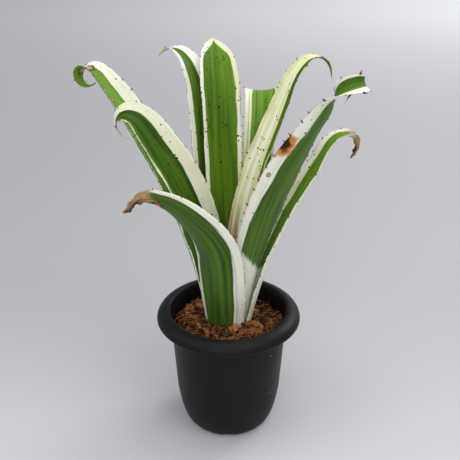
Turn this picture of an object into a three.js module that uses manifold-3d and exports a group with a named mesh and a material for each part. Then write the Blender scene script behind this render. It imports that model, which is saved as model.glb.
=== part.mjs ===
// Potted bromeliad: a variegated strap-leaved rosette in a black nursery pot, bedded in bark.
// Millimetres, +Z up. The origin is the centre of the pot's flat underside.

import * as THREE from 'three';
import { mergeVertices } from 'three/addons/utils/BufferGeometryUtils.js';
import { ParametricGeometry } from 'three/addons/geometries/ParametricGeometry.js';
import Module from 'manifold-3d';

const wasm = await Module();
wasm.setup();

// ---- driving dimensions -------------------------------------------------------------------

const FIT_GAP = 0.35; // between any two pieces that touch
const TURNED_SIDES = 36;
const BEND_STEPS = 4; // straight steps in each bend of a turned outline

// pot
const POT_HEIGHT = 108;
const RIM_RADIUS = 60; // outer edge of the rolled lip
const LIP_WIDTH = 11.4; // lip edge to the outside of the wall
const LIP_DROP = 9; // crest of the lip down to its edge
const LIP_RECESS = 3.4; // depth of the hollow under the lip
const LIP_CREST = 1.8; // the lip's crest stands this far outside the wall
const LIP_EDGE = 1; // height of the lip's thin outer edge
const POT_WALL = 1.5;
const POT_FLOOR = 2;
const WALL_TAPER = 4.1; // how much narrower the wall is at the belly than under the lip
const BELLY_HEIGHT = 33; // where the straight wall turns into the rounded bottom
const BOTTOM_TURN = 10.5; // how far the rounded bottom comes in from the belly
const BOTTOM_FLARE = 5; // how far the foot's edge runs out before it turns up
const SIDE_SWELL = 2.2; // how far the lower side stays inside the belly
const DRAIN_COUNT = 8;
const DRAIN_WIDTH = 9;
const DRAIN_HEIGHT = 3.4;
const DRAIN_REACH = 3; // how far the drains cut in from the foot's edge

// bark bed and what stands in it
const FILL_DROP = 15; // crest of the lip down to the bed by the plant
const BED_FALL = 3; // how much lower the bed is at the wall
const PLANT_OFFSET = 9; // the plant stands this far behind the pot's centre
const LEAF_DEPTH = 13; // how deep the leaf bases stand in the bed
const COLLAR_ROOM = 2.6; // room between the leaf tube and the bark
const STEM_HEIGHT = 20; // leaf bases down to the root ball
const CORE_RISE = 12; // the stem's core inside the leaf tube
const ROOT_COVER = 8; // least bark between the root ball and the pot's wall
const ROOT_REST = 12; // bark under the root ball
const ROOT_SHOULDER = 12; // the root ball narrows from this far below its top
const ROOT_FOOT = 0.65; // share of the root ball's radius that its flat bottom takes
const STEM_FOOT = 0.6; // share of the stem plate's radius that its bottom takes
const STEM_TURN = 6; // height of the stem's rounded bottom edge
const CORE_ROOM = 1; // room between the stem's core and the innermost sheath
const CHIP_COUNT = 12;
const CHIP_THICKNESS = 2.4;
const CHIP_CORNERS = 6;
const CHIP_GAP = 1.2; // least room between one chip's place and the next
const CHIP_PLACE = 0.47; // share of the ring's width at which a chip's middle lies
const CHIP_STRAY = 0.04; // how much that share differs from chip to chip
const CHIP_UNEVEN = 0.12; // how much a chip's corners are cut back, at most twice this
const CHIP_SPAN = 0.55; // radial share of the bed's ring that a chip takes
const CHIP_EDGE = 0.2; // share of its narrower half that a chip's thin edge takes

// leaves
const CORE_RADIUS = 8.5; // hollow of the leaf tube at the leaf bases
const LEAF_THICKNESS = 0.8;
const LEAF_GAP = 0.4; // between one sheath and the next
const LEAF_ROWS = 20;
const LEAF_COLUMNS = 6;
const RIB_SUBSTEPS = 4; // steps of the midrib in each row
const FLATTEST_WRAP = 0.3; // least slope of a sheath that its arc counts with

// Each leaf, from the innermost sheath outwards. Along a leaf, evenly spaced from base to tip:
// lean is its angle from upright, turn is added to its azimuth, roll turns it about its midrib and
// channel is half the angle of its trough, all in degrees. It wraps the axis for its sheath share,
// at the base by the angle wrap to each side. Half its width is full from one share of its length
// until another, and then tapers to the tip.
const LEAVES = [
  { name: 'leaf_inner_right', azimuth: 32, length: 279, sheath: 0.34,
    lean: [0, 3, 16, 25, 38, 175], turn: [0, 0, 5],
    roll: [0, 5, 10], channel: [60, 58, 55, 40],
    wrap: 58, full: 14.5, from: 0.4, until: 0.52, taper: 1.5 },
  { name: 'leaf_upper_left', azimuth: 170, length: 239, sheath: 0.3,
    lean: [1, 4, 12, 22, 34, 55, 255], turn: [0],
    roll: [0, -40, -48, -24], channel: [52, 36, 30, 25],
    wrap: 44, full: 16, from: 0.5, until: 0.66, taper: 2 },
  { name: 'leaf_centre', azimuth: 101, length: 249, sheath: 0.35,
    lean: [3, 7, 6, 9, 16, 60], turn: [0],
    roll: [5], channel: [52, 42, 32, 20],
    wrap: 35, full: 16.5, from: 0.45, until: 0.72, taper: 5 },
  { name: 'leaf_back_right', azimuth: 46, length: 265, sheath: 0.3,
    lean: [6, 11, 13, 14, 22, 110, 150], turn: [0, 6, 25, 42, 42],
    roll: [0], channel: [50, 45, 25, 14],
    wrap: 36, full: 13.5, from: 0.5, until: 0.8, taper: 2 },
  { name: 'leaf_back_left', azimuth: 121, length: 271, sheath: 0.3,
    lean: [7, 10, 8, 8, 34, 130], turn: [0, 0, 12],
    roll: [0], channel: [48, 42, 36, 28],
    wrap: 37, full: 16, from: 0.5, until: 0.6, taper: 2 },
  { name: 'leaf_front_right', azimuth: -43, length: 283, sheath: 0.3,
    lean: [4, 7, 11, 16, 20, 24, 27, 31, 31, 98, 148], turn: [0, 0, 0, 0, 0, 4, 10, 18, 5, 98, 262],
    roll: [0, -5, -9, -15, -23, -28, -28, -24, 2, 58, 76], channel: [55, 50, 45, 34],
    wrap: 54, full: 18, from: 0.35, until: 0.42, taper: 2.4 },
  { name: 'leaf_left', azimuth: 153, length: 276, sheath: 0.3,
    lean: [9, 14, 19, 25, 30, 34, 40, 68, 310], turn: [0],
    roll: [0], channel: [65, 60, 52, 45],
    wrap: 52, full: 20, from: 0.3, until: 0.65, taper: 2 },
  { name: 'leaf_right', azimuth: 8, length: 214, sheath: 0.3,
    lean: [9, 15, 20, 26, 31, 40, 225], turn: [0],
    roll: [0], channel: [60, 52, 45, 42],
    wrap: 56, full: 19, from: 0.25, until: 0.55, taper: 2 },
  { name: 'leaf_front', azimuth: -106, length: 180, sheath: 0.35,
    lean: [7, 8, 10, 37, 60, 140], turn: [0, 0, -20, -60, -78, -80],
    roll: [0, 0, 18, 45, 50, 40], channel: [52, 44, 40, 38],
    wrap: 58, full: 21, from: 0.2, until: 0.6, taper: 2 },
];

// ---- places that follow from them ---------------------------------------------------------

const shoulderRadius = RIM_RADIUS - LIP_WIDTH;
const bellyRadius = shoulderRadius - WALL_TAPER;
const lipEdge = POT_HEIGHT - LIP_DROP;
const bedTop = POT_HEIGHT - FILL_DROP;
const leafBase = bedTop - LEAF_DEPTH;
const stemBottom = leafBase - STEM_HEIGHT;
const leafStep = LEAF_THICKNESS + LEAF_GAP;
const tubeRadius = CORE_RADIUS + LEAVES.length * leafStep;
const collarRadius = tubeRadius + COLLAR_ROOM;
const rootRadius = bellyRadius - POT_WALL - PLANT_OFFSET - ROOT_COVER;
const rootBottom = POT_FLOOR + ROOT_REST;

// ---- helpers ------------------------------------------------------------------------------

// Closed, welded triangles that face outwards, with only their positions.
function weld(geometry) {
  geometry.deleteAttribute('normal');
  geometry.deleteAttribute('uv');
  const merged = mergeVertices(geometry, 1e-3);
  const at = merged.getAttribute('position');
  const index = merged.getIndex().array;
  const kept = [];
  let volume = 0;
  const [a, b, c] = [new THREE.Vector3(), new THREE.Vector3(), new THREE.Vector3()];
  for (let i = 0; i < index.length; i += 3) {
    const [p, q, r] = index.slice(i, i + 3);
    if (p === q || q === r || r === p) continue;
    kept.push(p, q, r);
    b.fromBufferAttribute(at, q).cross(c.fromBufferAttribute(at, r));
    volume += a.fromBufferAttribute(at, p).dot(b);
  }
  if (volume < 0) kept.reverse();
  merged.setIndex(kept);
  return merged;
}

function solid(geometry) {
  const welded = weld(geometry);
  return new wasm.Manifold(new wasm.Mesh({
    numProp: 3,
    vertProperties: new Float32Array(welded.getAttribute('position').array),
    triVerts: new Uint32Array(welded.getIndex().array),
  }));
}

function fromSolid(body) {
  const mesh = body.getMesh();
  const geometry = new THREE.BufferGeometry();
  geometry.setAttribute('position', new THREE.BufferAttribute(new Float32Array(mesh.vertProperties), 3));
  geometry.setIndex([...mesh.triVerts]);
  return geometry;
}

function named(name, geometry, material) {
  geometry.computeVertexNormals();
  const mesh = new THREE.Mesh(geometry, material.clone());
  mesh.name = name;
  return mesh;
}

// A turned body about +Z from a path of radius and height.
function turned(path) {
  const lathe = new THREE.LatheGeometry(path.getPoints(BEND_STEPS), TURNED_SIDES);
  lathe.rotateX(Math.PI / 2);
  return lathe;
}

// A smooth value at a share of the way along evenly spaced values.
function along(values, share) {
  const last = values.length - 1;
  if (last === 0) return values[0];
  const step = Math.min(Math.floor(share * last), last - 1);
  const t = share * last - step;
  const [p0, p1, p2, p3] = [-1, 0, 1, 2].map((k) => values[Math.min(Math.max(step + k, 0), last)]);
  const bend = 2 * p0 - 5 * p1 + 4 * p2 - p3;
  const twist = 3 * p1 - p0 - 3 * p2 + p3;
  return 0.5 * (2 * p1 + (p2 - p0) * t + bend * t * t + twist * t * t * t);
}

const radians = THREE.MathUtils.degToRad;
const ease = (x) => THREE.MathUtils.smoothstep(x, 0, 1);

// ---- pot ----------------------------------------------------------------------------------

// The inside of the straight wall at a height.
function innerRadius(height) {
  const rise = (height - BELLY_HEIGHT) / (lipEdge - BELLY_HEIGHT);
  return bellyRadius + WALL_TAPER * rise - POT_WALL;
}

// The rounded bottom from the foot to the belly, an inset inside the pot's outside.
function bottomCurve(inset, floor) {
  const foot = bellyRadius - BOTTOM_TURN - inset;
  return new THREE.CubicBezierCurve(
    new THREE.Vector2(foot, floor),
    new THREE.Vector2(foot + BOTTOM_FLARE, floor + POT_WALL / 2),
    new THREE.Vector2(bellyRadius - SIDE_SWELL - inset, BELLY_HEIGHT / 2),
    new THREE.Vector2(bellyRadius - inset, BELLY_HEIGHT),
  );
}

function potBody() {
  const foot = bellyRadius - BOTTOM_TURN;
  const recessTop = lipEdge + LIP_RECESS;
  const crest = shoulderRadius + LIP_CREST;
  const lipMiddle = (lipEdge + LIP_EDGE + POT_HEIGHT) / 2;
  const inner = bottomCurve(POT_WALL, POT_FLOOR);
  const path = new THREE.Path();
  path.moveTo(0, 0);
  path.lineTo(foot, 0);
  path.curves.push(bottomCurve(0, 0));
  path.currentPoint.set(bellyRadius, BELLY_HEIGHT);
  path.lineTo(shoulderRadius, lipEdge);
  path.lineTo(shoulderRadius, recessTop);
  path.lineTo(RIM_RADIUS - 2 * POT_WALL, recessTop);
  path.lineTo(RIM_RADIUS - POT_WALL, lipEdge);
  path.lineTo(RIM_RADIUS, lipEdge + LIP_EDGE);
  path.bezierCurveTo(RIM_RADIUS, lipMiddle, (crest + RIM_RADIUS) / 2, POT_HEIGHT, crest, POT_HEIGHT);
  path.quadraticCurveTo(innerRadius(POT_HEIGHT), POT_HEIGHT, innerRadius(lipEdge), lipEdge);
  path.lineTo(inner.v3.x, inner.v3.y);
  path.bezierCurveTo(inner.v2.x, inner.v2.y, inner.v1.x, inner.v1.y, inner.v0.x, inner.v0.y);
  path.lineTo(0, POT_FLOOR);
  let body = solid(turned(path));
  // the drains go through the bottom edge, from outside the wall to inside the floor's rim
  const inside = foot - DRAIN_REACH;
  const outside = bellyRadius;
  for (let k = 0; k < DRAIN_COUNT; k += 1) {
    const slot = new THREE.BoxGeometry(outside - inside, DRAIN_WIDTH, DRAIN_HEIGHT * 2);
    slot.translate((inside + outside) / 2, 0, 0);
    slot.rotateZ(2 * Math.PI * (k / DRAIN_COUNT) - Math.PI / 2);
    body = body.subtract(solid(slot));
  }
  return fromSolid(body);
}

// ---- bark bed, root ball and stem -----------------------------------------------------------

// The side of the root ball up to a height, grown all round by a margin.
function rootSide(path, grow, top) {
  const radius = rootRadius + grow;
  const bottom = rootBottom - grow;
  path.moveTo(0, bottom);
  path.lineTo(radius * ROOT_FOOT, bottom);
  path.quadraticCurveTo(radius, bottom, radius, stemBottom - ROOT_SHOULDER);
  path.lineTo(radius, top);
}

// Fills the pot a fit's gap clear of it, hollow where the root ball, the stem and the leaves stand.
function barkBed() {
  const floor = POT_FLOOR + FIT_GAP;
  const inset = POT_WALL + FIT_GAP;
  const wallTop = bedTop - BED_FALL;
  const path = new THREE.Path();
  path.moveTo(0, floor);
  path.lineTo(bellyRadius - BOTTOM_TURN - inset, floor);
  path.curves.push(bottomCurve(inset, floor));
  path.currentPoint.set(bellyRadius - inset, BELLY_HEIGHT);
  path.lineTo(innerRadius(wallTop) - FIT_GAP, wallTop);
  path.quadraticCurveTo(rootRadius + PLANT_OFFSET, bedTop, 0, bedTop);
  const above = POT_HEIGHT;
  const hollow = new THREE.Path();
  rootSide(hollow, FIT_GAP, stemBottom);
  hollow.lineTo(collarRadius, stemBottom);
  hollow.lineTo(collarRadius, above);
  hollow.lineTo(0, above);
  const room = turned(hollow);
  room.translate(0, PLANT_OFFSET, 0);
  return fromSolid(solid(turned(path)).subtract(solid(room)));
}

function rootBall() {
  const top = stemBottom - FIT_GAP;
  const path = new THREE.Path();
  rootSide(path, 0, top);
  path.lineTo(0, top);
  return weld(turned(path));
}

// A short woody plate that carries the leaf bases, with a blunt core inside the leaf tube.
function stem() {
  const plate = leafBase - FIT_GAP;
  const path = new THREE.Path();
  path.moveTo(0, stemBottom);
  const core = CORE_RADIUS - CORE_ROOM;
  path.lineTo(tubeRadius * STEM_FOOT, stemBottom);
  path.quadraticCurveTo(tubeRadius, stemBottom + STEM_TURN, tubeRadius, plate);
  path.lineTo(core, plate);
  path.quadraticCurveTo(core, leafBase + CORE_RISE, 0, leafBase + CORE_RISE);
  return weld(turned(path));
}

// ---- bark chips -----------------------------------------------------------------------------

// The bed's ring in one direction from the plant: where it starts and how wide it is.
function ring(angle) {
  const wall = innerRadius(bedTop) - FIT_GAP;
  const across = PLANT_OFFSET * Math.cos(angle);
  const end = -PLANT_OFFSET * Math.sin(angle) + Math.sqrt(wall * wall - across * across);
  return { start: collarRadius, width: end - collarRadius };
}

// A split flake of bark: an uneven sliver, thinner at its edges. It keeps to its own place round the
// ring, which is narrowest where the ring starts. The sines only make each chip different.
function chip(index) {
  const angle = (2 * Math.PI * (index + 0.5)) / CHIP_COUNT;
  const { start, width } = ring(angle);
  const middle = start + width * (CHIP_PLACE + CHIP_STRAY * Math.sin(index * 3.7));
  const half = { span: (width * CHIP_SPAN) / 2 };
  half.reach = (middle - half.span / 2) * Math.tan(Math.PI / CHIP_COUNT) - CHIP_GAP;
  const outline = new THREE.Shape();
  for (let k = 0; k < CHIP_CORNERS; k += 1) {
    const turn = (2 * Math.PI * k) / CHIP_CORNERS;
    const size = 1 - CHIP_UNEVEN * (1 + Math.sin(index * 5.1 + k * 2.9));
    const place = [half.span * size * Math.cos(turn), half.reach * size * Math.sin(turn)];
    if (k === 0) outline.moveTo(...place);
    else outline.lineTo(...place);
  }
  outline.closePath();
  const edge = CHIP_EDGE * Math.min(half.span, half.reach);
  const flake = new THREE.ExtrudeGeometry(outline, {
    depth: CHIP_THICKNESS / 3, bevelEnabled: true, bevelSegments: 1,
    bevelThickness: CHIP_THICKNESS / 3, bevelSize: edge, bevelOffset: -edge,
  });
  flake.translate(0, 0, CHIP_THICKNESS / 3);
  const mesh = named(`bark_chip_${String(index + 1).padStart(2, '0')}`, weld(flake), BARK_LIGHT);
  mesh.position.set(middle * Math.cos(angle), PLANT_OFFSET + middle * Math.sin(angle), bedTop + FIT_GAP);
  mesh.rotation.z = angle;
  return mesh;
}

// ---- leaves -----------------------------------------------------------------------------------

function halfWidth(leaf, share, radius) {
  const base = radians(leaf.wrap) * radius;
  if (share < leaf.from) return base + (leaf.full - base) * ease(share / leaf.from);
  if (share < leaf.until) return leaf.full;
  const left = (share - leaf.until) / (1 - leaf.until);
  return Math.max(leaf.full * (1 - left ** leaf.taper), LEAF_THICKNESS);
}

// Directions of a leaf at a share of its length: along it, towards its upper face, and across it.
function directions(leaf, share) {
  const lean = radians(along(leaf.lean, share));
  const azimuth = radians(leaf.azimuth + along(leaf.turn, share));
  const roll = radians(along(leaf.roll, share));
  const outward = new THREE.Vector3(Math.cos(azimuth), Math.sin(azimuth), 0);
  const forward = outward.clone().multiplyScalar(Math.sin(lean)).setZ(Math.cos(lean));
  const upper = outward.clone().multiplyScalar(-Math.cos(lean)).setZ(Math.sin(lean));
  const across = new THREE.Vector3(Math.sin(azimuth), -Math.cos(azimuth), 0);
  upper.applyAxisAngle(forward, roll);
  across.applyAxisAngle(forward, roll);
  return { lean, forward, upper, across };
}

// The midrib is stepped out from the stem, and each row of the blade is an arc across it. Low down
// the arc has the plant's axis at its centre, so that each sheath lies inside the next one.
function leafRows(leaf, radius) {
  const azimuth = radians(leaf.azimuth);
  const rib = new THREE.Vector3(radius * Math.cos(azimuth), radius * Math.sin(azimuth), leafBase);
  const rows = [];
  for (let i = 0; i <= LEAF_ROWS; i += 1) {
    const share = i / LEAF_ROWS;
    const frame = directions(leaf, share);
    const half = halfWidth(leaf, share, radius);
    const wrap = (half * Math.max(Math.cos(frame.lean), FLATTEST_WRAP)) / Math.hypot(rib.x, rib.y);
    const open = radians(along(leaf.channel, share));
    const trough = THREE.MathUtils.lerp(wrap, open, ease(share / leaf.sheath));
    rows.push({ ...frame, rib: rib.clone(), half, trough });
    for (let k = 0; k < RIB_SUBSTEPS; k += 1) {
      const step = directions(leaf, Math.min((i + (k + 0.5) / RIB_SUBSTEPS) / LEAF_ROWS, 1));
      rib.addScaledVector(step.forward, leaf.length / (LEAF_ROWS * RIB_SUBSTEPS));
    }
  }
  return rows;
}

function leafBlade(leaf, radius) {
  const rows = leafRows(leaf, radius);
  const sides = 2 * (LEAF_COLUMNS + 1);
  const point = (u, v, target) => {
    const i = Math.round(v * LEAF_ROWS);
    const row = rows[i];
    const k = Math.round(u * sides) % sides;
    const over = k > LEAF_COLUMNS;
    const column = over ? sides - 1 - k : k;
    const angle = (-1 + (2 * column) / LEAF_COLUMNS) * row.trough;
    const bow = row.half / row.trough;
    const thickness = i === 0 || i === LEAF_ROWS ? 0 : LEAF_THICKNESS / 2;
    const lift = over ? thickness : -thickness;
    target.copy(row.rib);
    target.addScaledVector(row.across, (bow - lift) * Math.sin(angle));
    target.addScaledVector(row.upper, bow - (bow - lift) * Math.cos(angle));
  };
  const blade = weld(new ParametricGeometry(point, sides, LEAF_ROWS));
  blade.translate(0, PLANT_OFFSET, 0);
  return blade;
}

// ---- materials and assembly -------------------------------------------------------------------

const finish = (color, roughness) => new THREE.MeshStandardMaterial({ color, roughness, metalness: 0 });
const POT_BLACK = finish(0x1c1c1e, 0.45);
const BARK = finish(0x6b3a22, 0.95);
const BARK_LIGHT = finish(0x9c6038, 0.9);
const ROOTS = finish(0x4a3424, 0.95);
const STEM_WOOD = finish(0x8a7a55, 0.8);
const LEAF_GREEN = finish(0x4f7d2a, 0.4);

const plant = new THREE.Group();
plant.add(named('pot', potBody(), POT_BLACK));
plant.add(named('bark_bed', barkBed(), BARK));
for (const [name, geometry, material] of [['root_ball', rootBall(), ROOTS], ['stem', stem(), STEM_WOOD]]) {
  const mesh = named(name, geometry, material);
  mesh.position.y = PLANT_OFFSET;
  plant.add(mesh);
}
for (let index = 0; index < CHIP_COUNT; index += 1) plant.add(chip(index));
LEAVES.forEach((leaf, index) => {
  const radius = CORE_RADIUS + (index + 0.5) * leafStep;
  plant.add(named(leaf.name, leafBlade(leaf, radius), LEAF_GREEN));
});

export default plant;
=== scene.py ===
"""Potted bromeliad: the finished look of the plant, its bark bed and its pot.

Lengths are metres unless a name ends in _mm. The pot stands on z = 0 with its centre at the origin.
"""

import math
import random
from collections import namedtuple

import bmesh
import bpy
from mathutils import Matrix, Vector, noise


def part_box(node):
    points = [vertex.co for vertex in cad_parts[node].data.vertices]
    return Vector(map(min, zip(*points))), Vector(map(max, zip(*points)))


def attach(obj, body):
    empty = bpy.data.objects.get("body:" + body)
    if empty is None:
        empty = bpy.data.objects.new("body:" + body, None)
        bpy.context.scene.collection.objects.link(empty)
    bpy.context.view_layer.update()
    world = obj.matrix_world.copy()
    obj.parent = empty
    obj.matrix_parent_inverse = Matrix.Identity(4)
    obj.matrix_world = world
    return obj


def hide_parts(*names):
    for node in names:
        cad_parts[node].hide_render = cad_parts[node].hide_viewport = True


bl_info = {
    "name": "Potted Bromeliad",
    "version": (1, 0, 0),
    "blender": (4, 5, 0),
    "location": "View3D > Sidebar > Bromeliad",
    "description": "Builds a variegated bromeliad in a nursery pot bedded in bark",
    "category": "Object",
}

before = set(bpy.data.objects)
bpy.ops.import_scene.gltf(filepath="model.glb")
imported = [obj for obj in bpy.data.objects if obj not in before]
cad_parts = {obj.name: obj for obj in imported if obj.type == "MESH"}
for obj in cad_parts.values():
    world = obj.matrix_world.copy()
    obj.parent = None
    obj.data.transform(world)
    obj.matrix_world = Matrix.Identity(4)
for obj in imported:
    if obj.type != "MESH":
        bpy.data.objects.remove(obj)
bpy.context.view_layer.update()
BODY = "root"
MM = 0.001
X_AXIS = Vector((1, 0, 0))
Y_AXIS = Vector((0, 1, 0))
Z_AXIS = Vector((0, 0, 1))

# ---- places taken from the imported parts -----------------------------------------------------

POT_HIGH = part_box("pot")[1]
BED_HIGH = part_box("bark_bed")[1]
ROOT_LOW, ROOT_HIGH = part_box("root_ball")
STEM_LOW, STEM_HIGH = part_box("stem")
POT_HEIGHT = POT_HIGH.z
RIM_RADIUS = POT_HIGH.x
BED_TOP = BED_HIGH.z
PLANT_Y = (STEM_LOW.y + STEM_HIGH.y) / 2
LEAF_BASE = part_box("leaf_centre")[0].z

# ---- pot and bed sizes, as in the part --------------------------------------------------------

FIT_GAP = 0.35 * MM
LIP_WIDTH = 11.4 * MM
LIP_DROP = 9 * MM
LIP_RECESS = 3.4 * MM
LIP_CREST = 1.8 * MM
LIP_EDGE = 1 * MM
POT_WALL = 1.5 * MM
POT_FLOOR = 2 * MM
WALL_TAPER = 4.1 * MM
BELLY_HEIGHT = 33 * MM
BOTTOM_TURN = 10.5 * MM
BOTTOM_FLARE = 5 * MM
SIDE_SWELL = 2.2 * MM
DRAIN_COUNT = 8
DRAIN_WIDTH = 9 * MM
DRAIN_HEIGHT = 3.4 * MM
DRAIN_REACH = 3 * MM
BED_FALL = 3 * MM
COLLAR_RADIUS = 21.9 * MM

SHOULDER_RADIUS = RIM_RADIUS - LIP_WIDTH
BELLY_RADIUS = SHOULDER_RADIUS - WALL_TAPER
LIP_LOW = POT_HEIGHT - LIP_DROP

# ---- leaves ------------------------------------------------------------------------------------

CORE_RADIUS = 8.5 * MM
LEAF_STEP = 1.2 * MM
FLATTEST_WRAP = 0.3
TIP_HALF_WIDTH = 0.32 * MM

# Along a leaf, evenly spaced from base to tip: lean is its angle from upright, turn is added to its
# azimuth, roll turns it about its midrib and channel is half the angle of its trough, in degrees.
# wrap is the angle to each side that its base holds round the plant. Half its width is full (mm)
# from one share of its length until another, and then tapers to the tip. Its length is in mm too.
Leaf = namedtuple("Leaf", "name azimuth length sheath lean turn roll channel "
                          "wrap full start until taper look")

# The green band runs between two shares of the leaf's width, counted from its left margin as seen from
# the plant's axis, given at the base and near the tip. Stripes, light, spots, blush and cream are how
# strong each mark is, and thorns is how long they are. The leaf is dry past dry, and the band starts past
# starts and narrows past closes, all shares of its length. NO_START and NOT_DRY lie off the leaf.
Look = namedtuple("Look", "band_base band_tip stripes light spots blush cream "
                          "dry starts closes thorns patches")

# A dead patch's middle, and half its width and its length, are shares of the leaf's. Its tone runs from
# straw at 0 to rust, and the patch is scorched where its tone is over SCORCHED_TONE.
Patch = namedtuple("Patch", "across along width length tone")
NO_START = -1.0
NOT_DRY = 1.02

LEAVES = (
    Leaf("leaf_inner_right", 32, 279, 0.34, (0, 3, 16, 25, 38, 175),
         (0, 0, 5), (0, 5, 10), (60, 58, 55, 40),
         58, 14.5, 0.4, 0.52, 1.5,
         Look((0.62, 0.92), (0.56, 0.95), 0.4, 0.30, 0.7, 0.6, 1.5, NOT_DRY, NO_START, 0.95, 0.8, ())),
    Leaf("leaf_upper_left", 170, 239, 0.3, (1, 4, 12, 22, 34, 55, 255),
         (0,), (0, -40, -48, -24), (52, 36, 30, 25),
         44, 16, 0.5, 0.66, 2,
         Look((0.06, 0.66), (0.04, 0.64), 0.2, 0.15, 0.4, 0.1, 0.6, NOT_DRY, NO_START, 0.9, 0.8, ())),
    Leaf("leaf_centre", 101, 249, 0.35, (3, 7, 6, 9, 16, 60),
         (0,), (5,), (52, 42, 32, 20),
         35, 16.5, 0.45, 0.72, 5,
         Look((0.13, 0.87), (0.10, 0.90), 0.5, 0.55, 1.0, 0.5, 0.9, NOT_DRY, NO_START, 0.90, 0.7, ())),
    Leaf("leaf_back_right", 46, 265, 0.3, (6, 11, 13, 14, 22, 110, 150),
         (0, 6, 25, 42, 42), (0,), (50, 45, 25, 14),
         36, 13.5, 0.5, 0.8, 2,
         Look((0.22, 0.95), (0.25, 0.95), 1.0, 0.85, 0.35, 0.0, 0.6, NOT_DRY, NO_START, 0.9, 0.7, ())),
    Leaf("leaf_back_left", 121, 271, 0.3, (7, 10, 8, 8, 34, 130),
         (0, 0, 12), (0,), (48, 42, 36, 28),
         37, 16, 0.5, 0.6, 2,
         Look((0.18, 0.70), (0.24, 0.62), 0.5, 0.35, 0.5, 0.0, 0.3, NOT_DRY, NO_START, 0.9, 0.8, ())),
    Leaf("leaf_front_right", -43, 283, 0.3, (4, 7, 11, 16, 20, 24, 27, 31, 31, 98, 148),
         (0, 0, 0, 0, 0, 4, 10, 18, 5, 98, 262),
         (0, -5, -9, -15, -23, -28, -28, -24, 2, 58, 76), (55, 50, 45, 34),
         54, 18, 0.35, 0.42, 2.4,
         Look((0.02, 0.92), (0.12, 0.64), 0.3, 0.32, 0.15, 0.0, 0.25, NOT_DRY, 0.20, 0.98, 1.25,
              (Patch(1.0, 0.655, 0.32, 0.044, 1.0), Patch(0.88, 0.56, 0.05, 0.008, 0.2)))),
    Leaf("leaf_left", 153, 276, 0.3, (9, 14, 19, 25, 30, 34, 40, 68, 310),
         (0,), (0,), (65, 60, 52, 45),
         52, 20, 0.3, 0.65, 2,
         Look((0.12, 0.62), (-0.04, 0.70), 0.5, 0.95, 0.6, 0.0, 0.3, 0.99, NO_START, 0.99, 1.0,
              (Patch(0.46, 0.90, 0.34, 0.032, 0.1), Patch(0.30, 0.80, 0.07, 0.009, 0.3),
               Patch(0.36, 0.765, 0.07, 0.009, 0.3), Patch(0.80, 0.53, 0.13, 0.017, 0.2),
               Patch(0.74, 0.57, 0.10, 0.014, 0.3), Patch(0.84, 0.48, 0.12, 0.015, 0.2)))),
    Leaf("leaf_right", 8, 214, 0.3, (9, 15, 20, 26, 31, 40, 225),
         (0,), (0,), (60, 52, 45, 42),
         56, 19, 0.25, 0.55, 2,
         Look((0.26, 0.76), (0.16, 0.64), 0.4, 0.75, 0.3, 0.0, 0.4, 0.90, 0.22, 0.86, 0.9,
              (Patch(0.62, 0.45, 0.06, 0.010, 0.4),))),
    Leaf("leaf_front", -106, 180, 0.35, (7, 8, 10, 37, 60, 140),
         (0, 0, -20, -60, -78, -80), (0, 0, 18, 45, 50, 40), (52, 44, 40, 38),
         58, 21, 0.2, 0.6, 2,
         Look((0.27, 0.86), (0.06, 1.02), 0.25, 0.18, 0.1, 0.0, 0.2, 0.86, NO_START, 0.96, 0.7,
              (Patch(0.80, 0.84, 0.5, 0.030, 0.5),))),
)


def along(values, share):
    """A smooth value at a share of the way along evenly spaced values."""
    last = len(values) - 1
    if last == 0:
        return values[0]
    step = min(int(share * last), last - 1)
    t = share * last - step
    p0, p1, p2, p3 = (values[min(max(step + k, 0), last)] for k in (-1, 0, 1, 2))
    bend = 2 * p0 - 5 * p1 + 4 * p2 - p3
    twist = 3 * p1 - p0 - 3 * p2 + p3
    return 0.5 * (2 * p1 + (p2 - p0) * t + bend * t * t + twist * t ** 3)


def ease(x):
    """Rises smoothly from 0 to 1 while x does."""
    x = min(max(x, 0), 1)
    return x * x * (3 - 2 * x)


def blend(first, second, share):
    """The value at a share of the way from the first to the second."""
    return first + (second - first) * share


def polar(radius, angle, height=0.0):
    """A point at a radius and an angle about +Z."""
    return Vector((radius * math.cos(angle), radius * math.sin(angle), height))


# ---- making pieces -----------------------------------------------------------------------------


def add_piece(name, shape, materials, replaced=()):
    """Turns a bmesh into a shown piece that rides on the plant's one body."""
    mesh = bpy.data.meshes.new(name)
    shape.to_mesh(mesh)
    shape.free()
    mesh.polygons.foreach_set("use_smooth", [True] * len(mesh.polygons))
    for material in materials:
        mesh.materials.append(material)
    piece = bpy.data.objects.new(name, mesh)
    bpy.context.scene.collection.objects.link(piece)
    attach(piece, BODY)
    if replaced:
        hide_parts(*replaced)
    return piece


def spun(outline, steps):
    """A closed turned shape from (radius, height) points, whose ends lie on the axis."""
    shape = bmesh.new()
    verts = [shape.verts.new((radius, 0, height)) for radius, height in outline]
    edges = [shape.edges.new(pair) for pair in zip(verts, verts[1:])]
    bmesh.ops.spin(shape, geom=verts + edges, axis=(0, 0, 1), cent=(0, 0, 0), dvec=(0, 0, 0),
                   angle=2 * math.pi, steps=steps, use_merge=True, use_normal_flip=False)
    bmesh.ops.remove_doubles(shape, verts=shape.verts, dist=1e-6)
    bmesh.ops.recalc_face_normals(shape, faces=shape.faces)
    return shape


def pour(part, into):
    """Adds a bmesh, with its maps, to another one."""
    mesh = bpy.data.meshes.new("part")
    part.to_mesh(mesh)
    part.free()
    into.from_mesh(mesh)
    bpy.data.meshes.remove(mesh)


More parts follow.
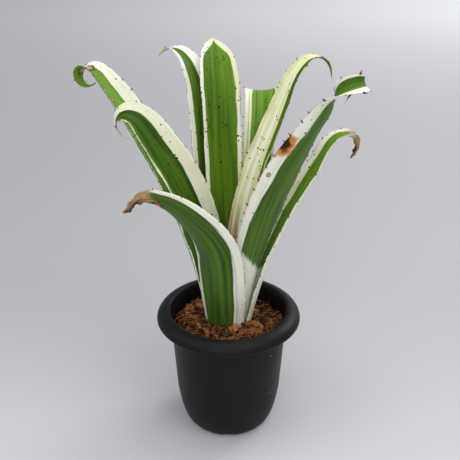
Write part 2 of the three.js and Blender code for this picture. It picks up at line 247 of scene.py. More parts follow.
def strand(length, thick, thin, sides, cuts):
    """A straight tapering strand along +X, in short steps that can be bent."""
    shape = bmesh.new()
    bmesh.ops.create_cone(shape, cap_ends=True, segments=sides, radius1=thick, radius2=thin, depth=length,
                          matrix=Matrix.Rotation(math.pi / 2, 4, "Y"))
    long_edges = [edge for edge in shape.edges if edge.calc_length() > length / 2]
    bmesh.ops.subdivide_edges(shape, edges=long_edges, cuts=cuts)
    bmesh.ops.recalc_face_normals(shape, faces=shape.faces)
    return shape


def bezier(points, steps):
    """Points along a Bezier curve of any degree, without its first one."""
    curve = []
    for k in range(1, steps + 1):
        row = [Vector(point) for point in points]
        while len(row) > 1:
            row = [a.lerp(b, k / steps) for a, b in zip(row, row[1:])]
        curve.append(tuple(row[0]))
    return curve


# ---- shader wiring -----------------------------------------------------------------------------


class Wiring:
    """Adds shader nodes to a tree. An input that is given a socket is linked, any other is set."""

    def __init__(self, tree):
        self.tree = tree

    def node(self, kind, inputs=None, **settings):
        made = self.tree.nodes.new(kind)
        for name, value in settings.items():
            setattr(made, name, value)
        for key, value in (inputs or {}).items():
            self.feed(made.inputs[key], value)
        return made

    def feed(self, socket, value):
        if isinstance(value, bpy.types.NodeSocket):
            self.tree.links.new(value, socket)
        else:
            socket.default_value = value

    def math(self, operation, *values, clamp=False):
        made = self.node("ShaderNodeMath", dict(enumerate(values)), operation=operation, use_clamp=clamp)
        return made.outputs[0]

    def times(self, first, second, clamp=False):
        return self.math("MULTIPLY", first, second, clamp=clamp)

    def plus(self, first, second, clamp=False):
        return self.math("ADD", first, second, clamp=clamp)

    def minus(self, first, second):
        return self.math("SUBTRACT", first, second)

    def times_plus(self, first, second, third):
        return self.math("MULTIPLY_ADD", first, second, third)

    def step(self, value, low, high, to_low=0.0, to_high=1.0):
        """Rises smoothly from to_low to to_high while the value goes from low to high."""
        made = self.node("ShaderNodeMapRange", {0: value, 1: low, 2: high, 3: to_low, 4: to_high},
                         interpolation_type="SMOOTHSTEP")
        return made.outputs[0]

    def mix(self, factor, first, second, blend_type="MIX"):
        made = self.node("ShaderNodeMix", {0: factor, 6: first, 7: second}, data_type="RGBA",
                         blend_type=blend_type)
        return made.outputs[2]

    def vector(self, x, y, z=0.0):
        return self.node("ShaderNodeCombineXYZ", {0: x, 1: y, 2: z}).outputs[0]

    def noise(self, vector, scale, detail=2.0, roughness=0.5):
        made = self.node("ShaderNodeTexNoise", {"Vector": vector, "Scale": scale, "Detail": detail,
                                                "Roughness": roughness})
        return made.outputs["Fac"]

    def stretched(self, vector, scale, shift=(0, 0, 0)):
        """A vector scaled and shifted, so that a pattern on it is drawn out."""
        made = self.node("ShaderNodeMapping", {"Vector": vector, "Location": shift, "Scale": scale})
        return made.outputs[0]

    def object_place(self):
        return self.node("ShaderNodeTexCoord").outputs["Object"]

    def parts(self, vector):
        """The X, Y and Z of a vector."""
        return self.node("ShaderNodeSeparateXYZ", {0: vector}).outputs

    def map_parts(self, name):
        """The two shares kept in a UV map."""
        return self.parts(self.node("ShaderNodeUVMap", uv_map=name).outputs[0])

    def bump(self, height, strength, distance):
        made = self.node("ShaderNodeBump", {"Height": height, "Strength": strength, "Distance": distance})
        return made.outputs[0]


def new_group(name, inputs, outputs):
    """An empty node group, its wiring and the sockets inside it. A socket named Colour is a colour, and
    any other is a number. The inputs are given with their defaults."""
    tree = bpy.data.node_groups.new(name, "ShaderNodeTree")
    for in_out, labels in (("INPUT", inputs), ("OUTPUT", outputs)):
        for label in labels:
            kind = "NodeSocketColor" if label == "Colour" else "NodeSocketFloat"
            socket = tree.interface.new_socket(label, in_out=in_out, socket_type=kind)
            if in_out == "INPUT":
                socket.default_value = inputs[label]
    wiring = Wiring(tree)
    entry = wiring.node("NodeGroupInput")
    leave = wiring.node("NodeGroupOutput")
    return tree, wiring, entry.outputs, leave.inputs


def new_material(name, **fixed):
    """A material with its Principled shader, whose values that are the same all over are given."""
    material = bpy.data.materials.new(name)
    material.use_nodes = True
    wiring = Wiring(material.node_tree)
    shader = material.node_tree.nodes["Principled BSDF"]
    for label, value in fixed.items():
        shader.inputs[label.replace("_", " ")].default_value = value
    return material, wiring, shader


def paint(chosen, strength=1.0):
    """A setting's colour with an alpha, made lighter or darker."""
    return (*[channel * strength for channel in chosen], 1)


# ---- settings ----------------------------------------------------------------------------------


def colour(name, description, default):
    """A colour setting."""
    return bpy.props.FloatVectorProperty(name=name, description=description, default=default,
                                         subtype="COLOR", size=3, min=0, max=1)


def size(name, description, default, low=0.0, high=1.0):
    """A length setting."""
    return bpy.props.FloatProperty(name=name, description=description, default=default, min=low, max=high,
                                   unit="LENGTH", subtype="DISTANCE", precision=4)


def power(name, description, default):
    """A light's power setting."""
    return bpy.props.FloatProperty(name=name, description=description, default=default, min=0, unit="POWER")


def whole_number(name, description, default, low=0):
    """A setting that counts something."""
    return bpy.props.IntProperty(name=name, description=description, default=default, min=low)


class PotSettings(bpy.types.PropertyGroup):
    """What a user would change on the pot."""

    plastic: colour("Plastic", "Colour of the moulded plastic", (0.0042, 0.0042, 0.0040))
    steps: whole_number("Steps", "Steps round the pot", 160, 24)
    scuffs: bpy.props.FloatProperty(name="Scuffs", description="How many pale scuffs the wall has",
                                    default=0.4, min=0, max=1, subtype="FACTOR")


class BarkSettings(bpy.types.PropertyGroup):
    """What a user would change on the bark bed."""

    chip_count: whole_number("Chips", "Small chips on the bed", 420)
    fibre_count: whole_number("Fibres", "Husk fibres on the bed", 420)
    chip_length: size("Chip length", "Mean length of a small chip", 15 * MM)
    dark: colour("Dark bark", "Colour of the bark's dark side", (0.016, 0.006, 0.003))
    red: colour("Red bark", "Colour of most of the bark", (0.085, 0.024, 0.008))
    tan: colour("Tan bark", "Colour of freshly split bark", (0.42, 0.17, 0.055))


class LeafSettings(bpy.types.PropertyGroup):
    """What a user would change on the leaves."""

    rows: whole_number("Rows", "Rows along a leaf", 180, 20)
    columns: whole_number("Columns", "Columns across a leaf", 16, 4)
    thickness: size("Thickness", "Thickness of a leaf at its midrib", 0.85 * MM)
    spine_length: size("Spine length", "Mean length of a margin spine", 2.3 * MM)
    spine_step: size("Spine step", "Mean distance between margin spines", 10 * MM)
    wave: size("Margin wave", "How far a margin waves", 0.7 * MM)
    deep: colour("Deep green", "Darkest green of the band", (0.022, 0.062, 0.0025))
    light: colour("Light green", "Lightest green of the band", (0.14, 0.28, 0.014))
    white: colour("White", "Colour of the pale margins", (0.88, 0.88, 0.77))
    cream: colour("Cream", "Colour of the yellowed margins", (0.72, 0.72, 0.38))
    dried: colour("Dried", "Colour of dried leaf", (0.36, 0.22, 0.11))


class StageSettings(bpy.types.PropertyGroup):
    """What a user would change on the stage."""

    # The backdrop is set much lighter than the floor as painted light; the paper material adds more painted
    # light and shade.
    backdrop: colour("Backdrop", "Colour of the paper behind the plant", (0.80, 0.80, 0.82))
    floor: colour("Floor", "Colour of the paper round the plant", (0.45, 0.452, 0.458))
    key_power: power("Key light", "Power of the main soft light", 8.0)
    fill_power: power("Fill light", "Power of the fill light", 6.0)
    front_power: power("Front light", "Power of the light in front", 9.0)
    top_power: power("Top light", "Power of the light overhead", 8.0)
    floor_power: power("Floor light", "Power of the light on the floor at the back", 60.0)
    camera_distance: size("Camera distance", "Camera's distance in front of the pot", 0.4824, high=5)
    camera_height: size("Camera height", "Camera's height over the floor", 0.4033, high=5)
    camera_pitch: bpy.props.FloatProperty(name="Camera pitch", description="How far the camera looks down",
                                          default=math.radians(25), subtype="ANGLE", unit="ROTATION")
    lens: bpy.props.FloatProperty(name="Lens", description="Focal length in millimetres", default=52.43,
                                  min=1)


# ---- pot ---------------------------------------------------------------------------------------


def wall_radius(height):
    """The outside of the straight wall at a height."""
    return blend(BELLY_RADIUS, SHOULDER_RADIUS, (height - BELLY_HEIGHT) / (LIP_LOW - BELLY_HEIGHT))


def bottom_curve(inset, floor):
    """Control points of the rounded bottom from the foot to the belly, an inset inside the outside."""
    foot = BELLY_RADIUS - BOTTOM_TURN - inset
    return [(foot, floor), (foot + BOTTOM_FLARE, floor + POT_WALL / 2),
            (BELLY_RADIUS - SIDE_SWELL - inset, BELLY_HEIGHT / 2), (BELLY_RADIUS - inset, BELLY_HEIGHT)]


def pot_outline():
    """The pot's section from the middle of its underside round the lip to the middle of its floor."""
    bend = 14
    foot = BELLY_RADIUS - BOTTOM_TURN
    recess = LIP_LOW + LIP_RECESS
    crest = SHOULDER_RADIUS + LIP_CREST
    lip_middle = (LIP_LOW + LIP_EDGE + POT_HEIGHT) / 2
    soft = 0.35 * MM
    outline = [(0, 0), (foot * 0.5, 0), (foot - soft, 0)]
    outline += bezier([(foot - soft, 0), *bottom_curve(0, 0)[1:]], bend)
    outline += [(wall_radius(z), z) for z in (blend(BELLY_HEIGHT, LIP_LOW, k / 6) for k in range(1, 7))]
    outline += [(SHOULDER_RADIUS, recess - soft), (SHOULDER_RADIUS + soft, recess)]
    outline += [(RIM_RADIUS - 2 * POT_WALL - soft, recess), (RIM_RADIUS - 2 * POT_WALL, recess - soft)]
    outline += [(RIM_RADIUS - POT_WALL, LIP_LOW + soft), (RIM_RADIUS - POT_WALL + soft, LIP_LOW)]
    outline += bezier([(RIM_RADIUS - POT_WALL + soft, LIP_LOW), (RIM_RADIUS, LIP_LOW),
                       (RIM_RADIUS, LIP_LOW + LIP_EDGE)], 4)
    outline += bezier([(RIM_RADIUS, LIP_LOW + LIP_EDGE), (RIM_RADIUS, lip_middle),
                       ((crest + RIM_RADIUS) / 2, POT_HEIGHT), (crest, POT_HEIGHT)], bend)
    inner_top = wall_radius(POT_HEIGHT) - POT_WALL
    outline += bezier([(crest, POT_HEIGHT), (inner_top, POT_HEIGHT),
                       (wall_radius(LIP_LOW) - POT_WALL, LIP_LOW)], bend)
    outline += [(wall_radius(z) - POT_WALL, z)
                for z in (blend(LIP_LOW, BELLY_HEIGHT, k / 6) for k in range(1, 7))]
    outline += bezier(bottom_curve(POT_WALL, POT_FLOOR)[::-1], bend)
    return outline + [(foot * 0.5, POT_FLOOR), (0, POT_FLOOR)]


def cut_drains(shape):
    """Cuts the drain notches through the bottom edge, as a boolean with one block for each."""
    foot = BELLY_RADIUS - BOTTOM_TURN
    inside, outside = foot - DRAIN_REACH, BELLY_RADIUS
    blocks = bmesh.new()
    for k in range(DRAIN_COUNT):
        turn = Matrix.Rotation(2 * math.pi * k / DRAIN_COUNT - math.pi / 2, 4, "Z")
        place = Matrix.Translation(((inside + outside) / 2, 0, 0))
        scale = Matrix.Diagonal((outside - inside, DRAIN_WIDTH, DRAIN_HEIGHT * 2, 1))
        bmesh.ops.create_cube(blocks, size=1, matrix=turn @ place @ scale)
    meshes = []
    for name, source in (("pot_blank", shape), ("drain_blocks", blocks)):
        mesh = bpy.data.meshes.new(name)
        source.to_mesh(mesh)
        source.free()
        meshes.append(bpy.data.objects.new(name, mesh))
        bpy.context.scene.collection.objects.link(meshes[-1])
    blank, cutter = meshes
    cut = blank.modifiers.new("drains", "BOOLEAN")
    cut.operation = "DIFFERENCE"
    cut.solver = "EXACT"
    cut.object = cutter
    bpy.context.view_layer.update()
    result = bmesh.new()
    result.from_object(blank, bpy.context.evaluated_depsgraph_get())
    for leftover in meshes:
        bpy.data.objects.remove(leftover)
    return result


SCUFF_PALE = (0.55, 0.55, 0.53, 1)
DUST_GREY = (0.20, 0.19, 0.17, 1)


def plastic_material(settings):
    """Black moulded plastic: a satin surface with faint flow marks, dust and a few pale scuffs."""
    material, wiring, shader = new_material("pot_plastic", IOR=1.47, Specular_IOR_Level=0.18)
    place = wiring.object_place()
    broad = wiring.noise(place, 28, 4)
    grain = wiring.noise(place, 2600, 2, 0.6)
    spread = wiring.stretched(place, (420, 420, 900))
    cells = wiring.node("ShaderNodeTexVoronoi", {"Vector": spread, "Scale": 0.35})
    chance = wiring.node("ShaderNodeSeparateColor", {0: cells.outputs["Color"]}).outputs[0]
    near = wiring.step(cells.outputs["Distance"], 0.10, 0.16, 1, 0)
    scuff = wiring.times(near, wiring.step(chance, 1 - settings.scuffs * 0.03, 1))
    dust = wiring.step(wiring.noise(place, 160, 5, 0.65), 0.56, 0.8, 0, 0.05)
    base = wiring.mix(broad, paint(settings.plastic, 0.8), paint(settings.plastic, 1.5))
    dusty = wiring.mix(dust, base, DUST_GREY)
    wiring.feed(shader.inputs["Base Color"], wiring.mix(scuff, dusty, SCUFF_PALE))
    wiring.feed(shader.inputs["Roughness"], wiring.step(broad, 0.2, 0.8, 0.40, 0.52))
    wiring.feed(shader.inputs["Normal"], wiring.bump(grain, 0.12, 0.0004))
    return material


class BROMELIAD_OT_pot(bpy.types.Operator):
    """Turns the pot, with its rolled lip, and cuts its drains"""

    bl_idname = "bromeliad.pot"
    bl_label = "Pot"

    def execute(self, context):
        settings = context.scene.bromeliad_pot
        shape = cut_drains(spun(pot_outline(), settings.steps))
        piece = add_piece("nursery_pot", shape, [plastic_material(settings)], ["pot"])
        piece.data.set_sharp_from_angle(angle=math.radians(50))
        return {"FINISHED"}


# ---- bark --------------------------------------------------------------------------------------

GRAIN_LENGTH = 30 * MM
FIBRE_THICK = 0.24 * MM
FIBRE_THIN = 0.12 * MM
INSIDE_CLEARANCE = 0.3 * MM
NAMED_CHIP_DEPTH = 2.2 * MM
BED_UNDER_CHIPS = 2.5 * MM
HEAP_RISE = 1.5 * MM
BED_UNEVEN = 1.6 * MM
FIBRE_LIFT = 2.4 * MM


def bark_group(settings):
    """Node group: bark from its dark weather-worn side to its tan split side, with fibres along it. A low
    Shade Range keeps a bark near the dark end, which on the packed bed is painted shade between the chips.
    """
    tree, w, given, out = new_group("bark_grain", {"Shade Range": 0.5}, ("Colour", "Roughness", "Height"))
    place = w.object_place()
    own = w.node("ShaderNodeAttribute", attribute_name="shade", attribute_type="GEOMETRY").outputs["Fac"]
    grain_map = w.node("ShaderNodeUVMap", uv_map="grain").outputs[0]
    fibre = w.noise(w.stretched(grain_map, (1.5, 24, 1)), 1, 5, 0.65)
    blotch = w.noise(place, 260, 4, 0.6)
    lit = w.times_plus(own, given["Shade Range"], w.times(fibre, 0.9))
    ramp = w.node("ShaderNodeValToRGB", {0: w.times_plus(blotch, 0.35, lit)})
    weathered_and_gap_shade, split = ramp.color_ramp.elements
    weathered_and_gap_shade.position = 0.64
    weathered_and_gap_shade.color = paint(settings.dark)
    split.position = 1.0
    split.color = paint(settings.tan)
    ramp.color_ramp.elements.new(0.88).color = paint(settings.red)
    w.feed(out["Colour"], ramp.outputs[0])
    w.feed(out["Roughness"], w.step(fibre, 0.2, 0.8, 0.65, 0.95))
    w.feed(out["Height"], w.plus(fibre, w.times(blotch, 0.4)))
    return tree


def bark_material(name, grain, shade_range):
    """Fibrous bark, in which each chip has its own shade."""
    material, w, shader = new_material(name, Specular_IOR_Level=0.15)
    group = w.node("ShaderNodeGroup", {"Shade Range": shade_range}, node_tree=grain)
    w.feed(shader.inputs["Base Color"], group.outputs["Colour"])
    w.feed(shader.inputs["Roughness"], group.outputs["Roughness"])
    w.feed(shader.inputs["Normal"], w.bump(group.outputs["Height"], 0.8, 0.0012))
    return material


def shared_bark():
    """The bark's node group, made once and used by every bark, root and stem material."""
    made = bpy.data.node_groups.get("bark_grain")
    return made or bark_group(bpy.context.scene.bromeliad_bark)


def mark_grain(shape, along_axis, across_axis, middle, length, shade):
    """Gives a shape a grain map that runs with its length, and its own shade."""
    grain = shape.loops.layers.uv.new("grain")
    own = shape.verts.layers.float.new("shade")
    for vert in shape.verts:
        vert[own] = shade
    for face in shape.faces:
        for loop in face.loops:
            offset = loop.vert.co - middle
            loop[grain].uv = (offset.dot(along_axis) / length + shade * 7,
                              offset.dot(across_axis) / length + shade * 3)


def bed_height(x, y):
    """The heap's height at a point: level by the plant and in front, lower at the wall, uneven."""
    wall = wall_radius(BED_TOP) - POT_WALL
    share = math.hypot(x, y) / wall
    heap = HEAP_RISE * (1 - ease((y + wall) / wall))
    rough = BED_UNEVEN * noise.noise(Vector((x, y, 0)) * 95)
    return BED_TOP - BED_FALL * share ** 4 + heap * (1 - share ** 3) + rough


def add_chip(heap, rng, middle, tilt, length, width, depth, shade):
    """A split flake, with frayed ends, ragged edges and a curl along its grain."""
    flake = bmesh.new()
    bmesh.ops.create_grid(flake, x_segments=6, y_segments=2, size=0.5)
    seed = Vector((rng.uniform(0, 50), rng.uniform(0, 50), 0))
    curl = rng.uniform(-0.25, 0.45)
    for vert in flake.verts:
        x, y = vert.co.x, vert.co.y
        fray = 1 + 0.35 * noise.noise(Vector((y * 6, 0, 0)) + seed)
        ragged = 1 + 0.3 * noise.noise(Vector((x * 4, 3, 0)) + seed)
        narrow = 1 - 0.7 * (2 * abs(x)) ** 3 * rng.random()
        lift = depth * (0.7 * noise.noise(Vector((x * 3, y * 3, 5)) + seed) + curl * (4 * x * x))
        vert.co = Vector((x * fray * length, y * ragged * narrow * width, lift))
    bmesh.ops.solidify(flake, geom=flake.faces[:], thickness=depth * rng.uniform(0.5, 1))
    bmesh.ops.recalc_face_normals(flake, faces=flake.faces)
    bmesh.ops.transform(flake, matrix=Matrix.Translation(middle) @ tilt, verts=flake.verts)
    keep_inside(flake)
    axes = tilt.to_3x3()
    mark_grain(flake, axes.col[0], axes.col[1], middle, length, shade)
    pour(flake, heap)


def keep_inside(shape):
    """Presses whatever reaches into the pot's wall back to its inner face."""
    for vert in shape.verts:
        reach = wall_radius(vert.co.z) - POT_WALL - INSIDE_CLEARANCE
        out = vert.co.to_2d().length
        if out > reach:
            vert.co.xy *= reach / out


def chip_tilt(rng, steep):
    """A chip's turn: any way round, and up to steep from level."""
    turn = Matrix.Rotation(rng.uniform(0, 2 * math.pi), 4, "Z")
    pitch = Matrix.Rotation(rng.gauss(0, steep), 4, "Y")
    return turn @ pitch @ Matrix.Rotation(rng.gauss(0, steep), 4, "X")


def ring_place(rng, margin):
    """A random point on the bed between the leaf tube and the wall, and its direction from the plant."""
    wall = wall_radius(BED_TOP) - POT_WALL - margin
    while True:
        point = polar(wall * math.sqrt(rng.random()), rng.uniform(0, 2 * math.pi))
        if (point - Vector((0, PLANT_Y, 0))).length > COLLAR_RADIUS - 1 * MM:
            return point


class BROMELIAD_OT_bark(bpy.types.Operator):
    """Fills the pot with the bark bed, and heaps chips and husk fibres on it"""

    bl_idname = "bromeliad.bark"
    bl_label = "Bark bed and chips"

    def execute(self, context):
        settings = context.scene.bromeliad_bark
        self.add_bed()
        self.add_named_chips()
        self.add_heap(settings)
        self.add_fibres(settings)
        return {"FINISHED"}

    def add_bed(self):
        """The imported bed, with an uneven top and the hollow where the plant stands."""
        floor = POT_FLOOR + FIT_GAP
        inset = POT_WALL + FIT_GAP
        top = BED_TOP - BED_FALL
        outline = [(0, floor), (20 * MM, floor)]
        outline += bezier(bottom_curve(inset, floor), 10)
        outline += [(wall_radius(z) - inset, z)
                    for z in (blend(BELLY_HEIGHT, top, k / 8) for k in range(1, 9))]
        reach = wall_radius(top) - inset
        outline += [(reach * (1 - k / 22), top) for k in range(1, 22)] + [(0, top)]
        shape = spun(outline, 96)
        axis = Vector((0, PLANT_Y, 0))
        for vert in shape.verts:
            if vert.co.z > top - 0.1 * MM and vert.co.to_2d().length < reach - 0.1 * MM:
                vert.co.z = bed_height(vert.co.x, vert.co.y) - BED_UNDER_CHIPS
            elif vert.co.z > floor + 1 * MM:
                outward = vert.co.to_2d().to_3d().normalized()
                vert.co += outward * -0.25 * MM * abs(noise.noise(vert.co * 300))
        hollow = [v for v in shape.verts
                  if v.co.z > top - 6 * MM and (Vector((v.co.x, v.co.y, 0)) - axis).length < COLLAR_RADIUS]
        for vert in hollow:
            vert.co.z = STEM_LOW.z - 0.5 * MM
        mark_grain(shape, X_AXIS, Y_AXIS, Vector(), GRAIN_LENGTH, 0.3)
        # The bed's low shade range keeps it near the dark end of the bark: painted shade in the gaps between
        # the chips.
        material = bark_material("packed_bark", shared_bark(), 0.10)
        add_piece("packed_bark", shape, [material], ["bark_bed"])

    def add_named_chips(self):
        """The larger loose chips, one for each of the part's own."""
        rng = random.Random(41)
        material = bark_material("large_bark_chip", shared_bark(), 0.42)
        names = sorted(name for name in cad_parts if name.startswith("bark_chip_"))
        for name in names:
            low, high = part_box(name)
            middle = (low + high) / 2
            spread = high - low
            shape = bmesh.new()
            tilt = chip_tilt(rng, 0.10)
            middle.z = bed_height(middle.x, middle.y) + 1.5 * MM
            across = min(spread.x, spread.y)
            add_chip(shape, rng, middle, tilt, across * 1.15, across * 0.62, NAMED_CHIP_DEPTH, rng.random())
            add_piece(name.replace("bark_chip", "loose_chip"), shape, [material], [name])

    def add_heap(self, settings):
        """Hundreds of small chips in the ring round the plant."""
        rng = random.Random(7)
        shape = bmesh.new()
        for _ in range(settings.chip_count):
            point = ring_place(rng, 2 * MM)
            length = settings.chip_length * rng.uniform(0.4, 1.5)
            width = length * rng.uniform(0.13, 0.38)
            lift = rng.uniform(-2.0, 2.8) * MM
            middle = Vector((point.x, point.y, bed_height(point.x, point.y) + lift))
            add_chip(shape, rng, middle, chip_tilt(rng, 0.28), length, width, rng.uniform(0.6, 1.6) * MM,
                     rng.random())
        add_piece("bark_heap", shape, [bark_material("small_bark_chip", shared_bark(), 0.5)])

    def add_fibres(self, settings):
        """Thin curved strands of husk."""
        rng = random.Random(19)
        shape = bmesh.new()
        for _ in range(settings.fibre_count):
            point = ring_place(rng, 5 * MM)
            length = rng.uniform(7, 18) * MM
            bow = rng.uniform(-0.35, 0.35) * length
            rise = rng.uniform(0, 2.5) * MM
            fibre = strand(length, FIBRE_THICK, FIBRE_THIN, 4, 6)
            for vert in fibre.verts:
                share = vert.co.x / length
                vert.co.y += bow * (1 - 4 * share * share)
                vert.co.z += rise * (1 - 4 * share * share) + 0.6 * MM * noise.noise(vert.co * 400)
            place = Matrix.Translation((point.x, point.y, bed_height(point.x, point.y) + FIBRE_LIFT))
            bmesh.ops.transform(fibre, matrix=place @ chip_tilt(rng, 0.2), verts=fibre.verts)
            keep_inside(fibre)
            mark_grain(fibre, X_AXIS, Y_AXIS, point, length, rng.random())
            pour(fibre, shape)
        add_piece("husk_fibres", shape, [bark_material("husk_fibre", shared_bark(), 0.6)])


# ---- root ball and stem ------------------------------------------------------------------------

ROOT_COUNT = 90
BALL_UNEVEN = 1.2 * MM
SCAR_STEP = 3 * MM
SCAR_DEPTH = 0.4 * MM


class BROMELIAD_OT_roots(bpy.types.Operator):
    """Makes the hidden root ball with its roots, and the woody stem"""

    bl_idname = "bromeliad.roots"
    bl_label = "Root ball and stem"

    def execute(self, context):
        self.add_root_ball()
        self.add_stem()
        return {"FINISHED"}

    def add_root_ball(self):
        """The ball of soil and roots, with roots laid on its side."""
        radius = (ROOT_HIGH.x - ROOT_LOW.x) / 2
        bottom, top = ROOT_LOW.z, ROOT_HIGH.z
        outline = [(0, bottom), (radius * 0.35, bottom), (radius * 0.62, bottom)]
        outline += bezier([(radius * 0.62, bottom), (radius, bottom), (radius, top - 12 * MM)], 12)
        outline += [(radius, top - 6 * MM)] + bezier([(radius, top - 6 * MM), (radius, top),
                                                       (radius * 0.8, top)], 6)
        outline += [(radius * 0.4, top), (0, top)]
        shape = spun(outline, 72)
        for vert in shape.verts:
            inward = vert.co.to_2d().to_3d()
            if inward.length > 1 * MM:
                vert.co -= inward.normalized() * BALL_UNEVEN * abs(noise.noise(vert.co * 160))
        rng = random.Random(5)
        for _ in range(ROOT_COUNT):
            self.add_root(shape, rng, radius - BALL_UNEVEN, top - bottom)
        bmesh.ops.translate(shape, verts=shape.verts, vec=(0, PLANT_Y, 0))
        mark_grain(shape, Z_AXIS, X_AXIS, Vector(), GRAIN_LENGTH, 0.3)
        material = bark_material("root_mass", shared_bark(), 0.3)
        add_piece("root_mass", shape, [material], ["root_ball"])

    def add_root(self, ball, rng, radius, tall):
        """One root on the ball's side: a thin strand bent round the ball."""
        length = rng.uniform(8, 20) * MM
        angle = rng.uniform(0, 2 * math.pi)
        height = ROOT_LOW.z + tall * rng.uniform(0.25, 0.8)
        slope = rng.uniform(-0.5, 0.5)
        root = strand(length, 0.5 * MM, 0.2 * MM, 6, 7)
        for vert in root.verts:
            x, y, z = vert.co
            vert.co = polar(radius + z, angle + x / radius, height + y + slope * x)
        pour(root, ball)

    def add_stem(self):
        """The short stem, ringed with old leaf scars, and the core that the leaves stand round."""
        radius = (STEM_HIGH.x - STEM_LOW.x) / 2
        bottom, top = STEM_LOW.z, STEM_HIGH.z
        plate = LEAF_BASE - FIT_GAP
        core = CORE_RADIUS - 1 * MM
        outline = [(0, bottom), (radius * 0.3, bottom), (radius * 0.6, bottom)]
        outline += bezier([(radius * 0.6, bottom), (radius, bottom + 6 * MM),
                           (radius, plate - 0.5 * MM)], 12)
        outline += [(radius - 0.5 * MM, plate), (radius * 0.7, plate), (core, plate)]
        outline += bezier([(core, plate), (core, top), (0, top)], 10)
        shape = spun(outline, 64)
        for vert in shape.verts:
            inward = vert.co.to_2d().to_3d()
            if inward.length > 1 * MM and vert.co.z < plate - 1 * MM:
                ring = 0.5 + 0.5 * math.sin(vert.co.z * 2 * math.pi / SCAR_STEP)
                vert.co -= inward.normalized() * SCAR_DEPTH * ring
        bmesh.ops.translate(shape, verts=shape.verts, vec=(0, PLANT_Y, 0))
        mark_grain(shape, Z_AXIS, X_AXIS, Vector(), GRAIN_LENGTH, 0.8)
        material = bark_material("woody_stem", shared_bark(), 0.4)
        add_piece("woody_stem", shape, [material], ["stem"])


# ---- leaf shape --------------------------------------------------------------------------------


CRUMPLE_HEIGHT = 3.2 * MM
SPINE_POINT = 0.04 * MM
SPINES_UNTIL = 0.96
Row = namedtuple("Row", "share rib forward upper across half trough")


def half_width(leaf, share, radius):
    """Half the leaf's width at a share of its length."""
    base = math.radians(leaf.wrap) * radius
    full = leaf.full * MM
    if share < leaf.start:
        return blend(base, full, ease(share / leaf.start))
    if share < leaf.until:
        return full
    left = (share - leaf.until) / (1 - leaf.until)
    return max(full * (1 - left ** leaf.taper), TIP_HALF_WIDTH)


def directions(leaf, share):
    """Lean, and the directions along the leaf, towards its upper face and across it."""
    lean = math.radians(along(leaf.lean, share))
    azimuth = math.radians(leaf.azimuth + along(leaf.turn, share))
    roll = math.radians(along(leaf.roll, share))
    outward = polar(1, azimuth)
    forward = outward * math.sin(lean) + Z_AXIS * math.cos(lean)
    turned = Matrix.Rotation(roll, 3, forward)
    upper = turned @ (Z_AXIS * math.sin(lean) - outward * math.cos(lean))
    across = turned @ Vector((math.sin(azimuth), -math.cos(azimuth), 0))
    return lean, forward, upper, across


def leaf_rows(leaf, radius, count):
    """The midrib stepped out from the stem, with the section's arc at each row."""
    rib = polar(radius, math.radians(leaf.azimuth), LEAF_BASE)
    rows = []
    for i in range(count + 1):
        share = i / count
        lean, forward, upper, across = directions(leaf, share)
        half = half_width(leaf, share, radius)
        wrap = half * max(math.cos(lean), FLATTEST_WRAP) / rib.to_2d().length
        trough = blend(wrap, math.radians(along(leaf.channel, share)), ease(share / leaf.sheath))
        rows.append(Row(share, rib.copy(), forward, upper, across, half, trough))
        middle = directions(leaf, min((i + 0.5) / count, 1))[1]
        rib += middle * (leaf.length * MM / count)
    return rows


class Blade:
    """Where the points of one leaf lie: across from -1 to 1, and lifted off its middle surface."""

    def __init__(self, leaf, index, settings):
        self.leaf = leaf
        self.settings = settings
        self.seed = Vector((index * 13.7, index * 5.3, 0))
        self.rows = leaf_rows(leaf, CORE_RADIUS + (index + 0.5) * LEAF_STEP, settings.rows)

    def thickness(self, row, across):
        """Thickest at the midrib, thinner towards the margins, the base and the tip."""
        thin = 1 - 0.62 * across * across
        ends = ease(min(row.share / 0.02, (1 - row.share) / 0.03))
        return self.settings.thickness * thin * blend(0.25, 1, ends) * blend(1, 0.75, row.share)

    def dried(self, row):
        """How dried out the leaf is at a row, from 0 to 1."""
        return ease((row.share - self.leaf.look.dry + 0.03) / 0.08)

    def crumple(self, row, across):
        """How far dried leaf stands off its smooth surface."""
        spot = Vector((across * 1.6, row.share * self.leaf.length / 6, 2)) + self.seed
        fold = noise.noise(spot) + 0.5 * noise.noise(spot * 2.3)
        return self.dried(row) * CRUMPLE_HEIGHT * fold

    def wave(self, row, across):
        """A margin's slow wave, which fades towards the base and the midrib."""
        side = 5 if across > 0 else 9
        swing = noise.noise(Vector((row.share * self.leaf.length / 16, side, 0)) + self.seed)
        return self.settings.wave * swing * abs(across) ** 3 * ease(row.share / 0.35) * 2

    def point(self, row, across, lift):
        """The place of a point, lifted off the blade's middle surface."""
        trough = row.trough * (1 + 1.6 * self.dried(row))
        angle = across * trough
        bow = row.half / trough
        lift += self.wave(row, across) + self.crumple(row, across)
        place = row.rib + row.across * ((bow - lift) * math.sin(angle))
        place += row.upper * (bow - (bow - lift) * math.cos(angle))
        return place + Vector((0, PLANT_Y, 0))

    def outwards(self, row, side):
        """Directions off a margin: away from the leaf, and along it."""
        angle = side * row.trough
        away = row.across * math.cos(angle) + row.upper * math.sin(angle)
        return away * side, row.forward


